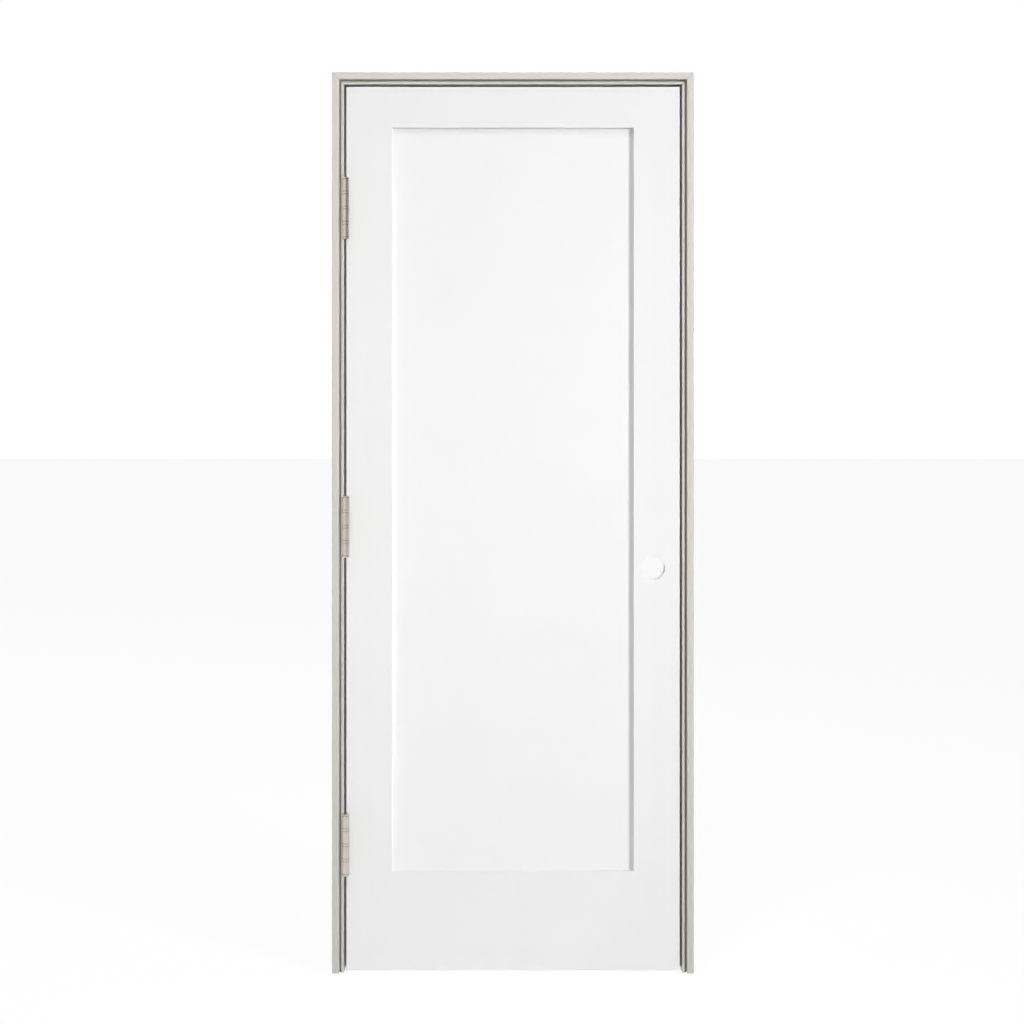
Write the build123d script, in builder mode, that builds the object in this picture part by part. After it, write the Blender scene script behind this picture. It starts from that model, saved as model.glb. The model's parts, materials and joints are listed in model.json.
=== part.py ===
"""Prehung one-panel shaker door in a rolled steel frame with clip-on casings.

Millimetres. X runs to the right seen from the pull side, Y runs through the wall away from
the viewer, Z is up. The origin is on the hinge jamb's front flange, on its wall side, at the
floor: y = 0 is the face of the finished wall and z = 0 is the floor.
"""

import math
import os

from build123d import *

# Door slab
door_width = 762.0
door_height = 2018.0
door_thickness = 34.9
door_front = -2.5
stile_width = 105.0
top_rail_width = 93.5
bottom_rail_width = 225.5
recess_depth = 9.0
panel_tongue = 10.0
lock_edge_angle = 3.0
edge_ease = 1.0

# Clearances round the slab
side_gap = 5.0
head_gap = 5.0
floor_gap = 5.0
stop_gap = 7.5

# Steel frame, rolled from one sheet
sheet = 1.2
wall_thickness = 117.5
sight_line = 26.5
casing_width = 16.0
casing_depth = 11.5
casing_sheet = 0.9
casing_corner_radius = 1.2
casing_undercut = 2.0
shadow_gap = 3.7
nose_depth = 6.5
nose_radius = 1.6
stop_height = 16.0
flange_inset = 2.0
bend_radius = 1.1

# Butt hinges
hinge_height = 140.0
hinge_centres = {"bottom": 290.0, "middle": 1014.0, "top": 1739.0}
barrel_radius = 7.25
pin_radius = 4.0
pin_clearance = 0.1
pin_projection = 15.9
pin_offset = 1.0
leaf_thickness = 3.0
leaf_backset = 6.35
leaf_lip = 1.0
neck_width = 3.0
neck_start = 6.0
bottom_cap_height = 4.5
top_cap_height = 3.0
ring_height = 5.5
knuckle_play = 0.8
knuckle_count = 4
pocket_play = 0.25
plate_thickness = 2.5
plate_reach = 24.0
plate_joggle = 4.0

# Lock preparation
bore_radius = 27.0
bore_backset = 60.3
bore_height = 917.5
latch_radius = 12.7
latch_plate_height = 57.2
latch_plate_width = 25.4
latch_plate_depth = 3.2
strike_height = 70.0
strike_width = 28.0
strike_hole_height = 30.0
strike_hole_width = 17.0
strike_corner = 2.0
box_depth = 20.0
box_wall = 1.5
box_play = 2.0
box_tab = 8.0

# Silencers
silencer_radius = 6.0
silencer_depth = 2.5
silencer_heights = (330.0, 1150.0, 1800.0)

# Corner brackets
bracket_leg = 40.0
bracket_width = 30.0
bracket_thickness = 1.5

# Places worked out from the sizes above
casing_left = -sight_line / 2
rabbet_left = sight_line / 2
door_left = rabbet_left + side_gap
door_right = door_left + door_width
rabbet_right = door_right + side_gap
casing_right = rabbet_right + sight_line
frame_width = casing_right - casing_left
door_bottom = floor_gap
door_top = door_bottom + door_height
head_rabbet = door_top + head_gap
frame_height = head_rabbet + sight_line
door_back = door_front + door_thickness
door_middle = (door_front + door_back) / 2
stop_front = door_back + stop_gap
panel_thickness = door_thickness - 2 * recess_depth
recess_left = door_left + stile_width
recess_right = door_right - stile_width
recess_bottom = door_bottom + bottom_rail_width
recess_top = door_top - top_rail_width
pin_x = door_left + pin_offset
pin_y = door_front - pin_projection
leaf_back = door_back - leaf_backset
leaf_front = door_front - leaf_lip
lock_height = door_bottom + bore_height
wall_middle = Plane.XZ.offset(-wall_thickness / 2)
opening_middle = Plane.YZ.offset((casing_left + casing_right) / 2)

os.makedirs("parts", exist_ok=True)


def save(piece, name):
    """Label a finished piece and write it under its own name."""
    piece.label = name
    export_step(piece, f"parts/{name}.step")


# Frame sections
# Local x runs from the casing's outer edge towards the opening, local y into the wall.
# Bends that show are rounded, and the inner ones that paint fills are left sharp.
half_sheet = sheet / 2
nose_start = casing_width + shadow_gap
stop_edge = sight_line + stop_height
front_bends = [
    (flange_inset, -half_sheet),
    (nose_start + half_sheet, -half_sheet),
    (nose_start + half_sheet, -nose_depth + half_sheet),
    (sight_line - half_sheet, -nose_depth + half_sheet),
    (sight_line - half_sheet, stop_front + half_sheet),
    (stop_edge - half_sheet, stop_front + half_sheet),
]
front_radii = [0, nose_radius, 0, 0, bend_radius]
rear_bends = [(x, wall_thickness - y) for x, y in reversed(front_bends)]
rear_radii = front_radii[::-1]

with BuildSketch() as jamb_section:
    with BuildLine():
        FilletPolyline(*front_bends, *rear_bends, radius=front_radii + rear_radii)
    trace(line_width=sheet)

half_casing = casing_sheet / 2
casing_bends = [
    (half_casing, 0),
    (half_casing, -casing_depth + half_casing),
    (casing_width - half_casing, -casing_depth + half_casing),
    (casing_width - half_casing - casing_undercut, 0),
]

with BuildSketch() as casing_section:
    with BuildLine():
        FilletPolyline(*casing_bends, radius=casing_corner_radius - half_casing)
    trace(line_width=casing_sheet)
    with Locations((casing_width, 0)):
        Rectangle(casing_width, 2 * sheet, mode=Mode.SUBTRACT)

side_plane = Plane(origin=(casing_left, 0, 0), x_dir=(1, 0, 0), z_dir=(0, 0, 1))
head_plane = Plane(origin=(casing_left, 0, frame_height), x_dir=(0, 0, -1), z_dir=(1, 0, 0))
left_mitre = Plane(origin=(casing_left, 0, frame_height), z_dir=(1, 0, 1))
right_mitre = Plane(origin=(casing_right, 0, frame_height), z_dir=(-1, 0, 1))

# Head jamb and casings, mitred at the corners
with BuildPart() as jamb_blank:
    with BuildSketch(side_plane):
        add(jamb_section.sketch)
    extrude(amount=frame_height)
    split(bisect_by=left_mitre, keep=Keep.BOTTOM)

with BuildPart() as head_jamb:
    with BuildSketch(head_plane):
        add(jamb_section.sketch)
    extrude(amount=frame_width)
    split(bisect_by=left_mitre, keep=Keep.TOP)
    split(bisect_by=right_mitre, keep=Keep.TOP)
save(head_jamb.part, "head_jamb")

with BuildPart() as hinge_side_casing:
    with BuildSketch(side_plane):
        add(casing_section.sketch)
    extrude(amount=frame_height)
    split(bisect_by=left_mitre, keep=Keep.BOTTOM)

with BuildPart() as strike_side_casing:
    mirror(hinge_side_casing.part, about=opening_middle)

with BuildPart() as head_casing:
    with BuildSketch(head_plane):
        add(casing_section.sketch)
    extrude(amount=frame_width)
    split(bisect_by=left_mitre, keep=Keep.TOP)
    split(bisect_by=right_mitre, keep=Keep.TOP)

front_casings = {
    "casing_hinge_side": hinge_side_casing.part,
    "casing_strike_side": strike_side_casing.part,
    "casing_head": head_casing.part,
}
for casing_name, front_casing in front_casings.items():
    save(front_casing, f"front_{casing_name}")
    with BuildPart() as rear_casing:
        mirror(front_casing, about=wall_middle)
    save(rear_casing.part, f"rear_{casing_name}")

# Hinge jamb with its three hinge pockets
pocket_floor = rabbet_left - leaf_thickness
pocket_front = -nose_depth - 1
pocket_back = leaf_back + pocket_play
pocket_height = hinge_height + 2 * pocket_play
hinge_places = [(0, 0, door_bottom + centre) for centre in hinge_centres.values()]

with BuildPart() as hinge_jamb:
    add(jamb_blank.part)
    with Locations(*hinge_places):
        with Locations((pocket_floor - pocket_play, pocket_front, 0)):
            Box(
                leaf_thickness + 2 * pocket_play,
                pocket_back - pocket_front,
                pocket_height,
                align=(Align.MIN, Align.MIN, Align.CENTER),
                mode=Mode.SUBTRACT,
            )
save(hinge_jamb.part, "hinge_jamb")

# Strike jamb, with a cut-out that the strike plate fills flush
rabbet_plane = Plane.YZ.offset(rabbet_right)
sheet_back_plane = rabbet_plane.offset(sheet)

with BuildPart() as strike_jamb:
    mirror(jamb_blank.part, about=opening_middle)
    with BuildSketch(rabbet_plane):
        with Locations((door_middle, lock_height)):
            Rectangle(strike_width + 2 * pocket_play, strike_height + 2 * pocket_play)
    extrude(amount=sheet, mode=Mode.SUBTRACT)
save(strike_jamb.part, "strike_jamb")

with BuildPart() as strike_plate:
    with BuildSketch(rabbet_plane):
        with Locations((door_middle, lock_height)):
            RectangleRounded(strike_width, strike_height, strike_corner)
            Rectangle(strike_hole_width, strike_hole_height, mode=Mode.SUBTRACT)
    extrude(amount=sheet)
save(strike_plate.part, "strike_plate")

# Box behind the strike, pressed from sheet, that the latch bolt enters
pocket_width = strike_hole_width + 2 * box_play
pocket_reach = strike_hole_height + 2 * box_play

with BuildPart() as strike_box:
    with BuildSketch(sheet_back_plane):
        with Locations((door_middle, lock_height)):
            Rectangle(strike_width + 2, strike_height + 2 * box_tab)
    extrude(amount=box_wall)
    with BuildSketch(sheet_back_plane):
        with Locations((door_middle, lock_height)):
            Rectangle(pocket_width + 2 * box_wall, pocket_reach + 2 * box_wall)
    extrude(amount=box_depth)
    with BuildSketch(sheet_back_plane):
        with Locations((door_middle, lock_height)):
            Rectangle(pocket_width, pocket_reach)
    extrude(amount=box_depth - box_wall, mode=Mode.SUBTRACT)
save(strike_box.part, "strike_box")

# Rubber silencers on the strike side's stop
silencer_places = [(rabbet_right - stop_height / 2, height) for height in silencer_heights]
with BuildPart() as silencers:
    with BuildSketch(Plane.XZ.offset(-stop_front)):
        with Locations(*silencer_places):
            Circle(silencer_radius)
    extrude(amount=silencer_depth)
save(silencers.part, "silencers")

# Brackets that hold the mitred corners square from behind
soffit_left = casing_left + stop_edge - sheet
soffit_top = frame_height - stop_edge + sheet
with BuildPart() as hinge_side_bracket:
    with BuildSketch(Plane.XZ.offset(-(wall_thickness - bracket_width) / 2)):
        with BuildLine():
            Polyline(
                (soffit_left, soffit_top - bracket_leg),
                (soffit_left, soffit_top),
                (soffit_left + bracket_leg, soffit_top),
                (soffit_left + bracket_leg, soffit_top + bracket_thickness),
                (soffit_left - bracket_thickness, soffit_top + bracket_thickness),
                (soffit_left - bracket_thickness, soffit_top - bracket_leg),
                close=True,
            )
        make_face()
    extrude(amount=-bracket_width)
save(hinge_side_bracket.part, "hinge_side_corner_bracket")

with BuildPart() as strike_side_bracket:
    mirror(hinge_side_bracket.part, about=opening_middle)
save(strike_side_bracket.part, "strike_side_corner_bracket")


# Door slab
# The stiles run full height, and the rails' stub tenons and the panel fill their grooves.
def slab_section(width, edge_run=0.0):
    """Outline of a stile or rail, its outer edge at x = 0 and its grooved edge at x = width.

    The outer edge leans in by edge_run from the front face to the back face.
    """
    groove_floor = width - panel_tongue
    groove_back = recess_depth + panel_thickness
    return [
        (edge_ease, 0),
        (width, 0),
        (width, recess_depth),
        (groove_floor, recess_depth),
        (groove_floor, groove_back),
        (width, groove_back),
        (width, door_thickness),
        (edge_run + edge_ease, door_thickness),
        (edge_run, door_thickness - edge_ease),
        (0, edge_ease),
    ]


def stile(edge_run=0.0):
    """Left-hand stile before its mortises or bores are cut."""
    with BuildPart() as blank:
        with BuildSketch(Plane.XY.offset(door_bottom)):
            with Locations((door_left, door_front)):
                Polygon(*slab_section(stile_width, edge_run), align=None)
        extrude(amount=door_height)
    return blank.part


def rail(width, shoulder_plane):
    """Rail drawn on the plane of one shoulder, with a stub tenon past each shoulder."""
    length = recess_right - recess_left
    with BuildPart() as blank:
        with BuildSketch(shoulder_plane):
            Polygon(*slab_section(width), align=None)
        extrude(amount=length)
        with BuildSketch(shoulder_plane.offset(-panel_tongue)):
            with Locations((0, recess_depth)):
                Rectangle(
                    width - panel_tongue, panel_thickness, align=(Align.MIN, Align.MIN)
                )
        extrude(amount=length + 2 * panel_tongue)
    return blank.part


# Hinge stile, mortised for the three door leaves
with BuildPart() as hinge_stile:
    add(stile())
    with Locations(*hinge_places):
        with Locations((door_left - 1, door_front - 1, 0)):
            Box(
                leaf_thickness + 1,
                leaf_back - door_front + 1,
                hinge_height,
                align=(Align.MIN, Align.MIN, Align.CENTER),
                mode=Mode.SUBTRACT,
            )
save(hinge_stile.part, "hinge_stile")

# Lock stile, its edge bevelled so that the back corner clears the frame as it swings
lock_edge_run = door_thickness * math.tan(math.radians(lock_edge_angle))
with BuildPart() as lock_stile:
    mirror(stile(lock_edge_run), about=opening_middle)
    with BuildSketch(Plane.XZ.offset(-door_front)):
        with Locations((door_right - bore_backset, lock_height)):
            Circle(bore_radius)
    extrude(amount=-door_thickness, mode=Mode.SUBTRACT)
    with BuildSketch(Plane.YZ.offset(door_right - bore_backset)):
        with Locations((door_middle, lock_height)):
            Circle(latch_radius)
    extrude(amount=bore_backset, mode=Mode.SUBTRACT)
    with BuildSketch(Plane.YZ.offset(door_right - latch_plate_depth)):
        with Locations((door_middle, lock_height)):
            Rectangle(latch_plate_width, latch_plate_height)
    extrude(amount=latch_plate_depth, mode=Mode.SUBTRACT)
save(lock_stile.part, "lock_stile")

top_plane = Plane(
    origin=(recess_left, door_front, door_top), x_dir=(0, 0, -1), z_dir=(1, 0, 0)
)
bottom_plane = Plane(
    origin=(recess_right, door_front, door_bottom), x_dir=(0, 0, 1), z_dir=(-1, 0, 0)
)
save(rail(top_rail_width, top_plane), "top_rail")
save(rail(bottom_rail_width, bottom_plane), "bottom_rail")

with BuildPart() as panel:
    with Locations((recess_left - panel_tongue, door_middle, recess_bottom - panel_tongue)):
        Box(
            recess_right - recess_left + 2 * panel_tongue,
            panel_thickness,
            recess_top - recess_bottom + 2 * panel_tongue,
            align=(Align.MIN, Align.CENTER, Align.MIN),
        )
save(panel.part, "panel")

# Hinges
# Heights in a hinge are counted from its bottom. Knuckles alternate, frame leaf lowest.
caps_height = bottom_cap_height + top_cap_height
knuckle_stack = hinge_height - caps_height - 2 * knuckle_count * knuckle_play
knuckle_height = (knuckle_stack - (knuckle_count - 1) * ring_height) / knuckle_count
knuckle_pitch = knuckle_height + ring_height + 2 * knuckle_play
first_knuckle = bottom_cap_height + knuckle_play
knuckle_bottoms = [first_knuckle + index * knuckle_pitch for index in range(knuckle_count)]
ring_bottoms = [bottom + knuckle_height + knuckle_play for bottom in knuckle_bottoms[:-1]]

# The frame leaf's neck passes left of the pin, the door leaf's neck right of it
neck_edge = door_front - neck_start
frame_neck = [
    (rabbet_left - leaf_thickness, leaf_front),
    (rabbet_left - leaf_thickness, neck_edge),
    (pin_x - barrel_radius, neck_edge - neck_width),
    (pin_x - barrel_radius, pin_y),
    (pin_x, pin_y),
    (pin_x - barrel_radius + neck_width, neck_edge - neck_width),
    (rabbet_left, neck_edge),
    (rabbet_left, leaf_front),
]
door_neck = [
    (door_left, leaf_front),
    (door_left, neck_edge),
    (pin_x, pin_y),
    (pin_x + barrel_radius, pin_y),
    (pin_x + barrel_radius, neck_edge - 2 * neck_width),
    (door_left + leaf_thickness, neck_edge),
    (door_left + leaf_thickness, leaf_front),
]
leaves = {
    "frame_leaf": (rabbet_left - leaf_thickness, frame_neck, knuckle_bottoms[0::2], 0.0),
    "door_leaf": (door_left, door_neck, knuckle_bottoms[1::2], pin_clearance),
}

# The pin's caps and bearing rings turn with it in one profile
pin_steps = [(pin_radius, 0.0, hinge_height)]
pin_steps += [(barrel_radius, 0.0, bottom_cap_height)]
pin_steps += [(barrel_radius, bottom, ring_height) for bottom in ring_bottoms]
pin_steps += [(barrel_radius, hinge_height - top_cap_height, top_cap_height)]

# Plate behind each hinge pocket, joggled so that its ends lie on the jamb's sheet
sheet_back = rabbet_left - sheet
half_pocket = pocket_height / 2
plate_face = [
    (sheet_back, half_pocket + plate_joggle + plate_reach),
    (sheet_back, half_pocket + plate_joggle),
    (pocket_floor, half_pocket),
    (pocket_floor, -half_pocket),
    (sheet_back, -half_pocket - plate_joggle),
    (sheet_back, -half_pocket - plate_joggle - plate_reach),
]
plate_outline = plate_face + [(x - plate_thickness, z) for x, z in reversed(plate_face)]

for hinge_name, centre in hinge_centres.items():
    hinge_middle = door_bottom + centre
    hinge_bottom = hinge_middle - hinge_height / 2

    for leaf_name, (leaf_left, neck, bottoms, play) in leaves.items():
        with BuildPart() as leaf:
            with Locations((leaf_left, leaf_front, hinge_bottom)):
                Box(
                    leaf_thickness,
                    leaf_back - leaf_front,
                    hinge_height,
                    align=(Align.MIN, Align.MIN, Align.MIN),
                )
            for bottom in bottoms:
                with BuildSketch(Plane.XY.offset(hinge_bottom + bottom)):
                    Polygon(*neck, align=None)
                    with Locations((pin_x, pin_y)):
                        Circle(barrel_radius)
                        Circle(pin_radius + play, mode=Mode.SUBTRACT)
                extrude(amount=knuckle_height)
        save(leaf.part, f"{hinge_name}_hinge_{leaf_name}")

    pin_plane = Plane(origin=(pin_x, pin_y, hinge_bottom), x_dir=(1, 0, 0), z_dir=(0, -1, 0))
    with BuildPart() as pin:
        with BuildSketch(pin_plane):
            for radius, bottom, height in pin_steps:
                with Locations((0, bottom)):
                    Rectangle(radius, height, align=(Align.MIN, Align.MIN))
        revolve(axis=Axis((pin_x, pin_y, 0), (0, 0, 1)))
    save(pin.part, f"{hinge_name}_hinge_pin")

    with BuildPart() as plate:
        with BuildSketch(Plane.XZ.offset(-half_sheet)):
            with Locations((0, hinge_middle)):
                Polygon(*plate_outline, align=None)
        extrude(amount=-leaf_back)
    save(plate.part, f"{hinge_name}_hinge_plate")
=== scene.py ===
"""Looks for the prehung shaker door: finishes, small fittings, camera and studio light.

Metres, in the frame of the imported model. X runs to the lock side, Y through the wall away
from the viewer, Z up.
"""

import json
import math

import bmesh
import bpy
from mathutils import Matrix, Vector


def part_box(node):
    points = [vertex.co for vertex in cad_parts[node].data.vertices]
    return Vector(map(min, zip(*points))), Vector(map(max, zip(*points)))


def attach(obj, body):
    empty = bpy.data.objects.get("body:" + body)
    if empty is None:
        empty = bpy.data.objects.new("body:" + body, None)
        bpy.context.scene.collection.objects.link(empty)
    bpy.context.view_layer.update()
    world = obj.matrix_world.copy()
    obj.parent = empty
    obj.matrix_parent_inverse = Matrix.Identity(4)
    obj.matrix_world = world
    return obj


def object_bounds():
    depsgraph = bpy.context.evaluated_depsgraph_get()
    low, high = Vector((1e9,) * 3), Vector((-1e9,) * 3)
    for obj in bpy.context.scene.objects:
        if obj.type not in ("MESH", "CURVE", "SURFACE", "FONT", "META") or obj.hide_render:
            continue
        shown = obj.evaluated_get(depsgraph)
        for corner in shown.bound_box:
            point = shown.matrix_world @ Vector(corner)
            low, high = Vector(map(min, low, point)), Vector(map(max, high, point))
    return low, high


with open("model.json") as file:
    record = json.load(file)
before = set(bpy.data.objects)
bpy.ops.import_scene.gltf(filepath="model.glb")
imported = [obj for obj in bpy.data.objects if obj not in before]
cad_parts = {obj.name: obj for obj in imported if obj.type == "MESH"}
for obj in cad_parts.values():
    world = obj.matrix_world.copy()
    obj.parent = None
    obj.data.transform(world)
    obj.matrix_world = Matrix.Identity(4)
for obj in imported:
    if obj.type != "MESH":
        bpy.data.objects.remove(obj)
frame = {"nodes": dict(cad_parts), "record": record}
cad_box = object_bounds()
nodes = frame["nodes"]

MM = 0.001

# Camera
CAMERA_PLACE = (0.397, -3.8025, 1.321)
LENS = 58.47
SHIFT_UP = -0.1152

# Lamps, world and stage
KEY_PLACE = (7.97, -6.20, 3.10)
KEY_AIM = (0.39, 0.0, 1.20)
KEY_SIZE = (2.8, 2.0)
KEY_SPREAD = 33.0
KEY_POWER = 33.0
TOP_PLACE = (-1.4, -5.3, 9.4)
TOP_SIZE = (3.2, 2.0)
TOP_POWER = 262.0
BACK_PLACE = (0.2, 6.5, 2.2)
BACK_SIZE = (3.0, 2.0)
BACK_POWER = 225.0
AMBIENT = 0.295
DARK_SIDE = (0.76, -0.65, 0.10)
DARK_ROOM = 0.22
BRIGHT_ROOM = 1.0
FLOOR_HALF = 30.0
FLOOR_COLOUR = (0.67, 0.67, 0.67, 1.0)
FLOOR_GLOW = 0.80
FLOOR_WHITE = 1.10
FLOOR_LIGHT = 0.14

# Finishes
PRIMER = (0.869, 0.866, 0.866)
# The panel's primer is the slab primer made lighter: painted light for the brighter light the
# panel gets from its recess walls
PANEL_PRIMER_PAINTED_LIGHTER = (0.894, 0.889, 0.890)
# Enamel colours at the head and at the floor; the fade between them is painted light falloff down
# the frame
CASING_LIT_HEAD = (0.693, 0.672, 0.608)
CASING_SHADED_FOOT = (0.572, 0.565, 0.546)
JAMB_LIT_HEAD = (0.640, 0.632, 0.604)
JAMB_SHADED_FOOT = (0.565, 0.560, 0.546)
JOINT_SHADOW = (0.120, 0.112, 0.100)
NICKEL = (0.690, 0.635, 0.555)
ZINC = (0.560, 0.570, 0.580)
RUBBER = (0.110, 0.110, 0.108)

# Painted shadow lines along the mitre joints, counted from the frame's outer edge
NOSE_START = 20.2 * MM
SIGHT_LINE = 26.3 * MM
JOINT_WIDTH = 0.5 * MM
JOINT_START = 1.5 * MM
JOINT_END = 1.0 * MM
JOINT_RISE = 0.01 * MM
JOINT_DEPTH = 0.2 * MM

# Painted shadow at the foot of the gap between casing and jamb, counted from the frame's outer
# edge
SHEET = 1.2 * MM
GAP_SPAN = (14.2 * MM, 17.6 * MM)
GAP_STRIP = 0.2 * MM
GAP_SHADOW = (0.380, 0.340, 0.270)

# Dark rings painted as the shade in the gaps between knuckles, rings and caps; their gaps counted
# from a hinge's bottom
KNUCKLE_SHADE_GAPS = [gap * MM for gap in (4.5, 32.7, 39.0, 67.2, 73.5, 101.7, 108.0, 136.2)]
KNUCKLE_SHADE_PLAY = 0.8 * MM
KNUCKLE_SHADE_RADIUS = 7.15 * MM
KNUCKLE_SHADE_HOLE = 4.2 * MM
KNUCKLE_SHADE_HEIGHT = 0.6 * MM
KNUCKLE_SHADE_SIDES = 48
KNUCKLE_SHADE = (0.045, 0.040, 0.035)

# Screws
HEAD_RADIUS = 4.6 * MM
HEAD_RISE = 0.45 * MM
RECESS_REACH = 2.3 * MM
RECESS_WIDTH = 0.62 * MM
RECESS_DEPTH = 1.6 * MM
HEAD_SIDES = 48
SCREW_HEIGHTS = (-54 * MM, -19 * MM, 19 * MM, 54 * MM)
SCREW_INSETS = (8 * MM, 19 * MM, 19 * MM, 8 * MM)
STRIKE_INSET = 8 * MM


def principled(name, base, roughness, metallic=0.0):
    """New material with one shader, and its tree for a caller to add to."""
    material = bpy.data.materials.new(name)
    material.use_nodes = True
    shader = material.node_tree.nodes["Principled BSDF"]
    shader.inputs["Base Color"].default_value = (*base, 1.0)
    shader.inputs["Roughness"].default_value = roughness
    shader.inputs["Metallic"].default_value = metallic
    return material, material.node_tree, shader


def add_node(tree, kind, **inputs):
    """New node with the given input sockets set, underscores standing for spaces."""
    node = tree.nodes.new(kind)
    for label, value in inputs.items():
        node.inputs[label.replace("_", " ")].default_value = value
    return node


def object_points(tree, stretch=(1.0, 1.0, 1.0)):
    """Socket with the surface's own coordinates in metres, each axis scaled by stretch."""
    coordinates = tree.nodes.new("ShaderNodeTexCoord")
    mapping = tree.nodes.new("ShaderNodeMapping")
    mapping.inputs["Scale"].default_value = stretch
    tree.links.new(coordinates.outputs["Object"], mapping.inputs["Vector"])
    return mapping.outputs["Vector"]


def noise(tree, scale, detail=3.0, stretch=(1.0, 1.0, 1.0)):
    """Socket with a noise whose grains are about 1 / scale metres."""
    texture = add_node(tree, "ShaderNodeTexNoise", Scale=scale, Detail=detail)
    tree.links.new(object_points(tree, stretch), texture.inputs["Vector"])
    return texture.outputs["Fac"]


def spread(tree, source, low, high):
    """Socket that follows source between low and high."""
    ranged = tree.nodes.new("ShaderNodeMapRange")
    ranged.inputs["From Min"].default_value = 0.3
    ranged.inputs["From Max"].default_value = 0.7
    ranged.inputs["To Min"].default_value = low
    ranged.inputs["To Max"].default_value = high
    tree.links.new(source, ranged.inputs["Value"])
    return ranged.outputs["Result"]


def mottle(tree, shader, base, scale, amount):
    """Lets the base colour drift by a small amount in soft patches."""
    mix = tree.nodes.new("ShaderNodeMix")
    mix.data_type = "RGBA"
    mix.inputs["A"].default_value = (*[c * (1 - amount) for c in base], 1.0)
    mix.inputs["B"].default_value = (*[min(1.0, c * (1 + amount)) for c in base], 1.0)
    tree.links.new(spread(tree, noise(tree, scale), 0.0, 1.0), mix.inputs["Factor"])
    tree.links.new(mix.outputs["Result"], shader.inputs["Base Color"])


def bump(tree, shader, source, depth):
    """Raises the surface by depth metres where source is 1."""
    raised = add_node(tree, "ShaderNodeBump", Strength=1.0, Distance=depth)
    tree.links.new(source, raised.inputs["Height"])
    tree.links.new(raised.outputs["Normal"], shader.inputs["Normal"])


def primer_finish(name, base):
    """Sprayed satin primer with a faint orange peel."""
    material, tree, shader = principled(name, base, 0.45)
    mottle(tree, shader, base, 6.0, 0.006)
    tree.links.new(
        spread(tree, noise(tree, 30.0), 0.42, 0.50), shader.inputs["Roughness"]
    )
    bump(tree, shader, noise(tree, 420.0, 2.0), 0.02 * MM)
    return material


def enamel_finish(name, high, low):
    """Baked satin enamel on rolled steel, lighter at the head and darker at the floor: painted
    light falloff down the frame.
    """
    material, tree, shader = principled(name, high, 0.38)
    split = tree.nodes.new("ShaderNodeSeparateXYZ")
    tree.links.new(object_points(tree), split.inputs["Vector"])
    height = tree.nodes.new("ShaderNodeMapRange")
    height.inputs["From Max"].default_value = cad_box[1].z
    tree.links.new(split.outputs["Z"], height.inputs["Value"])
    # Painted shade: the base colour darkens from head to floor in place of the light's falloff
    painted_falloff = tree.nodes.new("ShaderNodeMix")
    painted_falloff.data_type = "RGBA"
    painted_falloff.inputs["A"].default_value = (*low, 1.0)
    painted_falloff.inputs["B"].default_value = (*high, 1.0)
    tree.links.new(height.outputs["Result"], painted_falloff.inputs["Factor"])
    tree.links.new(painted_falloff.outputs["Result"], shader.inputs["Base Color"])
    tree.links.new(
        spread(tree, noise(tree, 60.0), 0.34, 0.42), shader.inputs["Roughness"]
    )
    bump(tree, shader, noise(tree, 650.0, 2.0), 0.012 * MM)
    return material


def nickel_finish():
    """Satin nickel plate, brushed along the hinge."""
    material, tree, shader = principled("satin_nickel", NICKEL, 0.32, 1.0)
    strokes = noise(tree, 900.0, 4.0, (1.0, 1.0, 0.03))
    mottle(tree, shader, NICKEL, 60.0, 0.03)
    tree.links.new(spread(tree, strokes, 0.27, 0.40), shader.inputs["Roughness"])
    bump(tree, shader, strokes, 0.006 * MM)
    return material


def zinc_finish():
    """Bare galvanised sheet with its spangle."""
    material, tree, shader = principled("galvanised_sheet", ZINC, 0.45, 1.0)
    spangle = add_node(tree, "ShaderNodeTexVoronoi", Scale=160.0)
    tree.links.new(object_points(tree), spangle.inputs["Vector"])
    grey = tree.nodes.new("ShaderNodeRGBToBW")
    tree.links.new(spangle.outputs["Color"], grey.inputs["Color"])
    mix = tree.nodes.new("ShaderNodeMix")
    mix.data_type = "RGBA"
    mix.inputs["A"].default_value = (*[c * 0.86 for c in ZINC], 1.0)
    mix.inputs["B"].default_value = (*[c * 1.12 for c in ZINC], 1.0)
    tree.links.new(grey.outputs["Val"], mix.inputs["Factor"])
    tree.links.new(mix.outputs["Result"], shader.inputs["Base Color"])
    tree.links.new(
        spread(tree, grey.outputs["Val"], 0.36, 0.52), shader.inputs["Roughness"]
    )
    bump(tree, shader, noise(tree, 300.0), 0.01 * MM)
    return material


def rubber_finish():
    """Moulded grey rubber."""
    material, tree, shader = principled("silencer_rubber", RUBBER, 0.7)
    mottle(tree, shader, RUBBER, 200.0, 0.06)
    bump(tree, shader, noise(tree, 1200.0), 0.02 * MM)
    return material


def dress(node, material):
    """Gives a CAD node one material in all its slots."""
    if not node.material_slots:
        node.data.materials.append(material)
    for place in node.material_slots:
        place.material = material


def soften(node, width, segments=2):
    """Eases a CAD node's sharp edges with modifiers, its own mesh left as it is."""
    weld = node.modifiers.new("weld", "WELD")
    weld.merge_threshold = 1e-5
    flat = node.modifiers.new("flat", "DECIMATE")
    flat.decimate_type = "DISSOLVE"
    flat.angle_limit = math.radians(1.0)
    bevel = node.modifiers.new("bevel", "BEVEL")
    bevel.width = width
    bevel.segments = segments
    bevel.limit_method = "ANGLE"
    bevel.angle_limit = math.radians(35)
    normals = node.modifiers.new("normals", "WEIGHTED_NORMAL")
    normals.keep_sharp = True


def add_piece(name, mesh, material, body):
    """Turns a finished mesh into one object of one material, riding on a body."""
    data = bpy.data.meshes.new(name)
    mesh.to_mesh(data)
    mesh.free()
    data.materials.append(material)
    piece = bpy.data.objects.new(name, data)
    bpy.context.scene.collection.objects.link(piece)
    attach(piece, body)
    return piece


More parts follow.
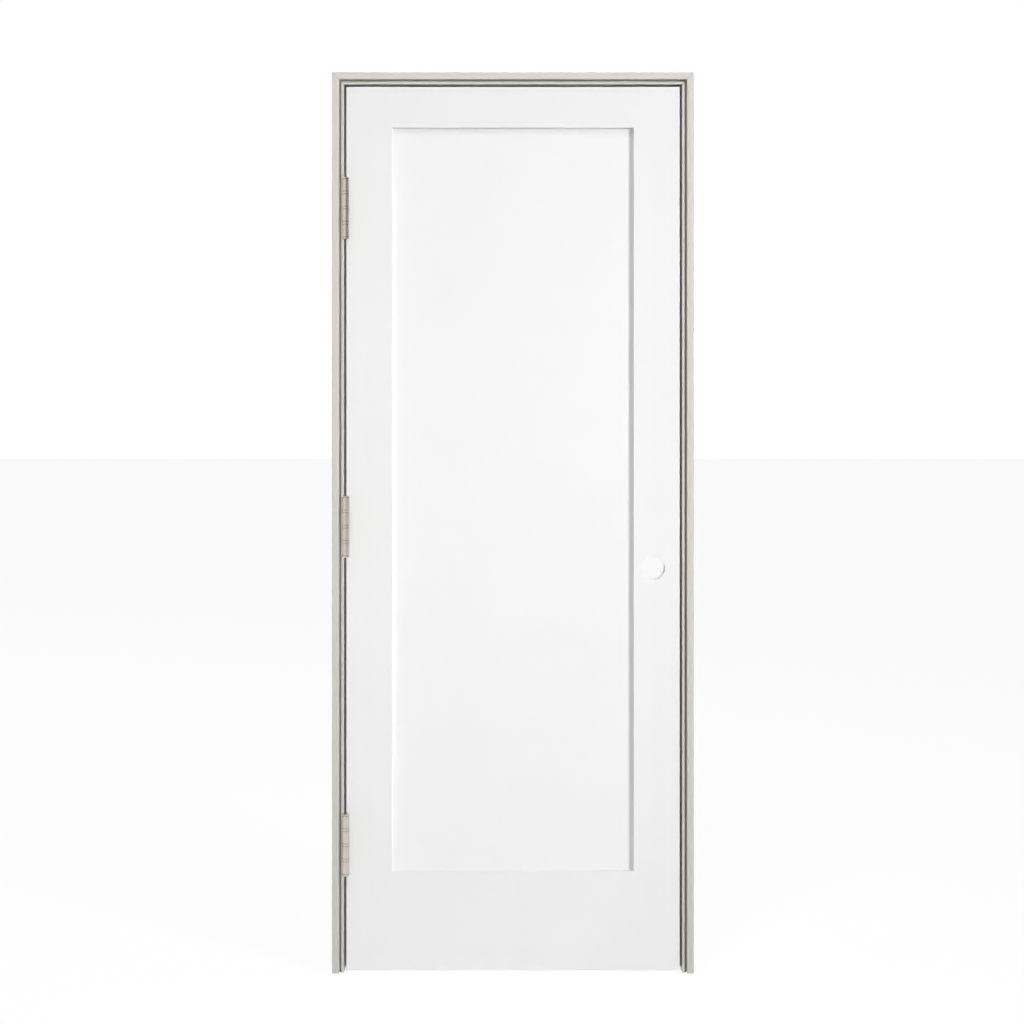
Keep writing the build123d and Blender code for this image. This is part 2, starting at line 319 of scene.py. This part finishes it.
def cross_radius(angle):
    """Radius of a cross recess's outline at an angle."""
    turned = (angle + math.pi / 4) % (math.pi / 2) - math.pi / 4
    across = abs(math.sin(turned))
    if across * RECESS_REACH <= RECESS_WIDTH:
        return RECESS_REACH
    return RECESS_WIDTH / across


def add_screw_head(mesh, place, axis):
    """Adds one flat head with a cross recess, its top facing along axis."""
    turn = Vector((0, 0, 1)).rotation_difference(Vector(axis)).to_matrix().to_4x4()
    to_place = Matrix.Translation(place) @ turn
    angles = [2 * math.pi * side / HEAD_SIDES for side in range(HEAD_SIDES)]
    rings = [
        ([HEAD_RADIUS] * HEAD_SIDES, -0.2 * MM),
        ([HEAD_RADIUS] * HEAD_SIDES, 0.25 * HEAD_RISE),
        ([HEAD_RADIUS * 0.93] * HEAD_SIDES, 0.75 * HEAD_RISE),
        ([HEAD_RADIUS * 0.65] * HEAD_SIDES, HEAD_RISE),
        ([cross_radius(angle) for angle in angles], HEAD_RISE),
        ([cross_radius(angle) * 0.9 for angle in angles], 0.0),
        ([cross_radius(angle) * 0.5 for angle in angles], -RECESS_DEPTH),
    ]
    loops = []
    for radii, height in rings:
        loop = []
        for angle, radius in zip(angles, radii):
            point = Vector((radius * math.cos(angle), radius * math.sin(angle), height))
            loop.append(mesh.verts.new(to_place @ point))
        loops.append(loop)
    for outer, inner in zip(loops, loops[1:]):
        for side in range(HEAD_SIDES):
            after = (side + 1) % HEAD_SIDES
            mesh.faces.new((outer[side], outer[after], inner[after], inner[side]))
    mesh.faces.new(loops[-1])
    mesh.faces.new(loops[0][::-1])


def screws(name, body, places, axis, material):
    """One mesh of like screw heads, riding on a body."""
    mesh = bmesh.new()
    for place in places:
        add_screw_head(mesh, place, axis)
    for face in mesh.faces:
        face.smooth = len(face.verts) == 4
    piece = add_piece(name, mesh, material, body)
    edges = piece.modifiers.new("edges", "EDGE_SPLIT")
    edges.split_angle = math.radians(40)


def leaf_screw_places(kind, face_x):
    """Places of four screws on each of the three leaves of a kind, on the plane face_x."""
    places = []
    for hinge in ("top", "middle", "bottom"):
        low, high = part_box(f"{hinge}_hinge_{kind}")
        middle = (low.z + high.z) / 2
        for height, inset in zip(SCREW_HEIGHTS, SCREW_INSETS):
            places.append((face_x, high.y - inset, middle + height))
    return places


def add_screws(material):
    """Screws of the hinge leaves and of the strike plate."""
    jamb_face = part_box("top_hinge_plate")[1].x + SHEET
    # The knuckles reach past the door leaves' faces, which lie flush in the stile's edge
    door_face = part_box("hinge_stile")[0].x
    for name, body, kind, face, axis in (
        ("frame_leaf_screws", "frame", "frame_leaf", jamb_face, (1, 0, 0)),
        ("door_leaf_screws", "door", "door_leaf", door_face, (-1, 0, 0)),
    ):
        screws(name, body, leaf_screw_places(kind, face), axis, material)
    low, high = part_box("strike_plate")
    centre = (low + high) / 2
    half = (high.z - low.z) / 2 - STRIKE_INSET
    places = [(low.x, centre.y, centre.z + half), (low.x, centre.y, centre.z - half)]
    screws("strike_screws", "frame", places, (-1, 0, 0), material)


def add_hairline(mesh, edge, sign, top, near, far, face, out):
    """Adds a thin wedge along a mitre, from near to far in from the frame's corner."""
    half = JOINT_WIDTH / 2 / math.sqrt(2)
    points = []
    for depth in (face + out * JOINT_RISE, face - out * JOINT_DEPTH):
        for reach, side in ((near, -1), (far, -1), (far, 1), (near, 1)):
            x = edge + sign * (reach + side * half)
            z = top - (reach - side * half)
            points.append(mesh.verts.new((x, depth, z)))
    quads = ((0, 1, 2, 3), (7, 6, 5, 4), (0, 4, 5, 1), (1, 5, 6, 2), (2, 6, 7, 3), (3, 7, 4, 0))
    for quad in quads:
        mesh.faces.new([points[index] for index in quad])
    bmesh.ops.recalc_face_normals(mesh, faces=mesh.faces)


def add_joints():
    """Dark hairlines painted as the shadow in the gap where the mitred casings and jambs meet, on
    both faces of the wall.
    """
    material, _, _ = principled("joint_shadow", JOINT_SHADOW, 0.8)
    mesh = bmesh.new()
    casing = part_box("front_casing_hinge_side")
    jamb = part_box("head_jamb")
    top = jamb[1].z
    width = casing[1].x - casing[0].x - JOINT_END
    spans = ((casing[0].y, JOINT_START, width), (jamb[0].y, NOSE_START, SIGHT_LINE))
    for edge, sign in ((jamb[0].x, 1), (jamb[1].x, -1)):
        for front, near, far in spans:
            rear = jamb[0].y + jamb[1].y - front
            for face, out in ((front, -1), (rear, 1)):
                add_hairline(mesh, edge, sign, top, near, far, face, out)
    add_piece("mitre_joint_shadows", mesh, material, "frame")


def add_gap_shadows():
    """Dark strips painted as the shadow at the foot of the gap between casings and jambs, on both
    faces.
    """
    material, _, _ = principled("gap_shadow", GAP_SHADOW, 0.9)
    mesh = bmesh.new()
    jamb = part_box("head_jamb")
    left, right, top = jamb[0].x, jamb[1].x, jamb[1].z
    near, far = GAP_SPAN
    for face, out in ((-SHEET, -1), (jamb[0].y + jamb[1].y + SHEET, 1)):
        low, high = sorted((face, face + out * GAP_STRIP))
        for box_low, box_high in (
            ((left + near, low, 0.0), (left + far, high, top - near)),
            ((right - far, low, 0.0), (right - near, high, top - near)),
            ((left + far, low, top - far), (right - far, high, top - near)),
        ):
            size = Vector(box_high) - Vector(box_low)
            centre = (Vector(box_high) + Vector(box_low)) / 2
            place = Matrix.Translation(centre) @ Matrix.Diagonal((*size, 1.0))
            bmesh.ops.create_cube(mesh, size=1.0, matrix=place)
    add_piece("casing_gap_shadow", mesh, material, "frame")


def add_knuckle_shade():
    """Dark rings painted as the shade in the gaps between knuckles, rings and caps of the three
    hinges.
    """
    material, _, _ = principled("knuckle_gap_shade", KNUCKLE_SHADE, 0.7)
    mesh = bmesh.new()
    for hinge in ("top", "middle", "bottom"):
        low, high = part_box(f"{hinge}_hinge_pin")
        x, y = (low.x + high.x) / 2, (low.y + high.y) / 2
        for gap in KNUCKLE_SHADE_GAPS:
            middle = low.z + gap + KNUCKLE_SHADE_PLAY / 2
            loops = []
            for radius, rise in (
                (KNUCKLE_SHADE_HOLE, -1),
                (KNUCKLE_SHADE_RADIUS, -1),
                (KNUCKLE_SHADE_RADIUS, 1),
                (KNUCKLE_SHADE_HOLE, 1),
            ):
                loop = []
                for side in range(KNUCKLE_SHADE_SIDES):
                    angle = 2 * math.pi * side / KNUCKLE_SHADE_SIDES
                    height = middle + rise * KNUCKLE_SHADE_HEIGHT / 2
                    point = (x + radius * math.cos(angle), y + radius * math.sin(angle), height)
                    loop.append(mesh.verts.new(point))
                loops.append(loop)
            for first, second in zip(loops, loops[1:] + loops[:1]):
                for side in range(KNUCKLE_SHADE_SIDES):
                    after = (side + 1) % KNUCKLE_SHADE_SIDES
                    mesh.faces.new((first[side], first[after], second[after], second[side]))
    bmesh.ops.recalc_face_normals(mesh, faces=mesh.faces)
    add_piece("hinge_knuckle_shade", mesh, material, "frame")


def dress_nodes():
    """Gives every CAD node its finish and eased edges."""
    finishes = {
        "slab_paint": (primer_finish("slab_primer", PRIMER), 0.2 * MM),
        "frame_paint": (enamel_finish("jamb_enamel", JAMB_LIT_HEAD, JAMB_SHADED_FOOT), 0.2 * MM),
        "casing_paint": (enamel_finish("casing_enamel", CASING_LIT_HEAD, CASING_SHADED_FOOT), 0.3 * MM),
        "hinge_nickel": (nickel_finish(), 0.3 * MM),
        "zinc_steel": (zinc_finish(), 0.2 * MM),
        "silencer_rubber": (rubber_finish(), 0.8 * MM),
    }
    for part in frame["record"]["subparts"]:
        material, ease = finishes[part["material_slot"]]
        node = nodes[part["node"]]
        dress(node, material)
        soften(node, ease)
    # The panel gets a lighter copy of the slab primer: painted light
    dress(nodes["panel"], primer_finish("panel_primer_painted_lighter", PANEL_PRIMER_PAINTED_LIGHTER))
    return finishes["hinge_nickel"][0]


def seen_rays(tree):
    """Socket that is 1 for camera, glossy and transmission rays, and else 0."""
    path = tree.nodes.new("ShaderNodeLightPath")
    total = None
    for label in ("Is Camera Ray", "Is Glossy Ray", "Is Transmission Ray"):
        if total is None:
            total = path.outputs[label]
            continue
        add = tree.nodes.new("ShaderNodeMath")
        add.operation = "MAXIMUM"
        tree.links.new(total, add.inputs[0])
        tree.links.new(path.outputs[label], add.inputs[1])
        total = add.outputs[0]
    return total, path


def build_world():
    """Soft grey fill for surfaces, and white for what the camera and reflections see."""
    world = bpy.data.worlds.new("studio")
    world.use_nodes = True
    bpy.context.scene.world = world
    tree = world.node_tree
    tree.nodes.clear()
    fill = add_node(tree, "ShaderNodeBackground", Strength=AMBIENT)
    fill.inputs["Color"].default_value = (1.0, 1.0, 1.0, 1.0)
    seen = add_node(tree, "ShaderNodeBackground", Strength=1.0)
    # Reflections see a darker room in front of the door, most of all right of the camera
    coordinates = tree.nodes.new("ShaderNodeTexCoord")
    towards = tree.nodes.new("ShaderNodeVectorMath")
    towards.operation = "DOT_PRODUCT"
    towards.inputs[1].default_value = Vector(DARK_SIDE).normalized()
    tree.links.new(coordinates.outputs["Generated"], towards.inputs[0])
    room = tree.nodes.new("ShaderNodeMapRange")
    room.interpolation_type = "SMOOTHSTEP"
    room.inputs["From Min"].default_value = 0.2
    room.inputs["From Max"].default_value = 0.95
    room.inputs["To Min"].default_value = BRIGHT_ROOM
    room.inputs["To Max"].default_value = DARK_ROOM
    tree.links.new(towards.outputs["Value"], room.inputs["Value"])
    rays, path = seen_rays(tree)
    white = tree.nodes.new("ShaderNodeMath")
    white.operation = "MAXIMUM"
    tree.links.new(room.outputs["Result"], white.inputs[0])
    tree.links.new(path.outputs["Is Camera Ray"], white.inputs[1])
    tree.links.new(white.outputs[0], seen.inputs["Color"])
    mix = tree.nodes.new("ShaderNodeMixShader")
    output = tree.nodes.new("ShaderNodeOutputWorld")
    tree.links.new(rays, mix.inputs["Fac"])
    tree.links.new(fill.outputs[0], mix.inputs[1])
    tree.links.new(seen.outputs[0], mix.inputs[2])
    tree.links.new(mix.outputs[0], output.inputs["Surface"])


def build_floor():
    """Pale floor that the camera sees nearly white, with the door's soft shadow kept."""
    material = bpy.data.materials.new("floor")
    material.use_nodes = True
    tree = material.node_tree
    tree.nodes.clear()
    matte = tree.nodes.new("ShaderNodeBsdfDiffuse")
    matte.inputs["Color"].default_value = FLOOR_COLOUR
    glow = add_node(tree, "ShaderNodeEmission", Strength=FLOOR_WHITE)
    glow.inputs["Color"].default_value = (1.0, 1.0, 1.0, 1.0)
    rays, _ = seen_rays(tree)
    share = tree.nodes.new("ShaderNodeMath")
    share.operation = "MULTIPLY"
    share.inputs[1].default_value = FLOOR_GLOW
    tree.links.new(rays, share.inputs[0])
    # Light that the white floor sends back up from far off
    lit = add_node(tree, "ShaderNodeEmission", Strength=FLOOR_LIGHT)
    lit.inputs["Color"].default_value = (1.0, 1.0, 1.0, 1.0)
    bright = tree.nodes.new("ShaderNodeAddShader")
    tree.links.new(matte.outputs[0], bright.inputs[0])
    tree.links.new(lit.outputs[0], bright.inputs[1])
    mix = tree.nodes.new("ShaderNodeMixShader")
    output = tree.nodes.new("ShaderNodeOutputMaterial")
    tree.links.new(share.outputs[0], mix.inputs["Fac"])
    tree.links.new(bright.outputs[0], mix.inputs[1])
    tree.links.new(glow.outputs[0], mix.inputs[2])
    tree.links.new(mix.outputs[0], output.inputs["Surface"])

    mesh = bmesh.new()
    bmesh.ops.create_grid(mesh, x_segments=1, y_segments=1, size=FLOOR_HALF)
    data = bpy.data.meshes.new("floor")
    mesh.to_mesh(data)
    mesh.free()
    data.materials.append(material)
    floor = bpy.data.objects.new("floor", data)
    bpy.context.scene.collection.objects.link(floor)
    return floor


def add_lamp(name, place, size, power, target, spread=180.0):
    """Soft rectangular lamp aimed at a point, its beam narrowed to spread degrees."""
    data = bpy.data.lights.new(name, "AREA")
    data.shape = "RECTANGLE"
    data.size, data.size_y = size
    data.energy = power
    data.spread = math.radians(spread)
    lamp = bpy.data.objects.new(name, data)
    lamp.location = place
    lamp.rotation_euler = (
        (Vector(target) - Vector(place)).to_track_quat("-Z", "Y").to_euler()
    )
    lamp.visible_camera = False
    lamp.visible_glossy = False
    bpy.context.scene.collection.objects.link(lamp)
    return lamp


def build_lights(floor):
    """Large key far to the right of the camera, one lamp high over it and one behind the door."""
    centre = (cad_box[0] + cad_box[1]) / 2
    key = add_lamp("key", KEY_PLACE, KEY_SIZE, KEY_POWER, KEY_AIM, KEY_SPREAD)
    top = add_lamp("top", TOP_PLACE, TOP_SIZE, TOP_POWER, centre)
    # The lamp behind lights the object alone, so that the floor's shadows stay those of the front
    back = add_lamp("back", BACK_PLACE, BACK_SIZE, BACK_POWER, centre)
    unlit = bpy.data.collections.new("back_unlit")
    unlit.objects.link(floor)
    for place in unlit.collection_objects:
        place.light_linking.link_state = "EXCLUDE"
    back.light_linking.receiver_collection = unlit
    # The hinges throw no shadow of the two front lamps on the frame or the slab
    blockers = bpy.data.collections.new("key_blockers")
    for part in frame["record"]["subparts"]:
        if part["material_slot"] == "hinge_nickel":
            blockers.objects.link(nodes[part["node"]])
    for place in blockers.collection_objects:
        place.light_linking.link_state = "EXCLUDE"
    key.light_linking.blocker_collection = blockers
    top.light_linking.blocker_collection = blockers


def build_camera():
    """Level camera in front of the panel, its view shifted down to the door."""
    data = bpy.data.cameras.new("camera")
    data.sensor_width = 36.0
    data.lens = LENS
    data.shift_y = SHIFT_UP
    camera = bpy.data.objects.new("camera", data)
    camera.location = CAMERA_PLACE
    camera.rotation_euler = (math.radians(90), 0, 0)
    bpy.context.scene.collection.objects.link(camera)
    bpy.context.scene.camera = camera


bpy.context.scene.view_settings.view_transform = "Standard"
build_camera()
build_world()
build_lights(build_floor())
add_screws(dress_nodes())
add_joints()
add_gap_shadows()
add_knuckle_shade()
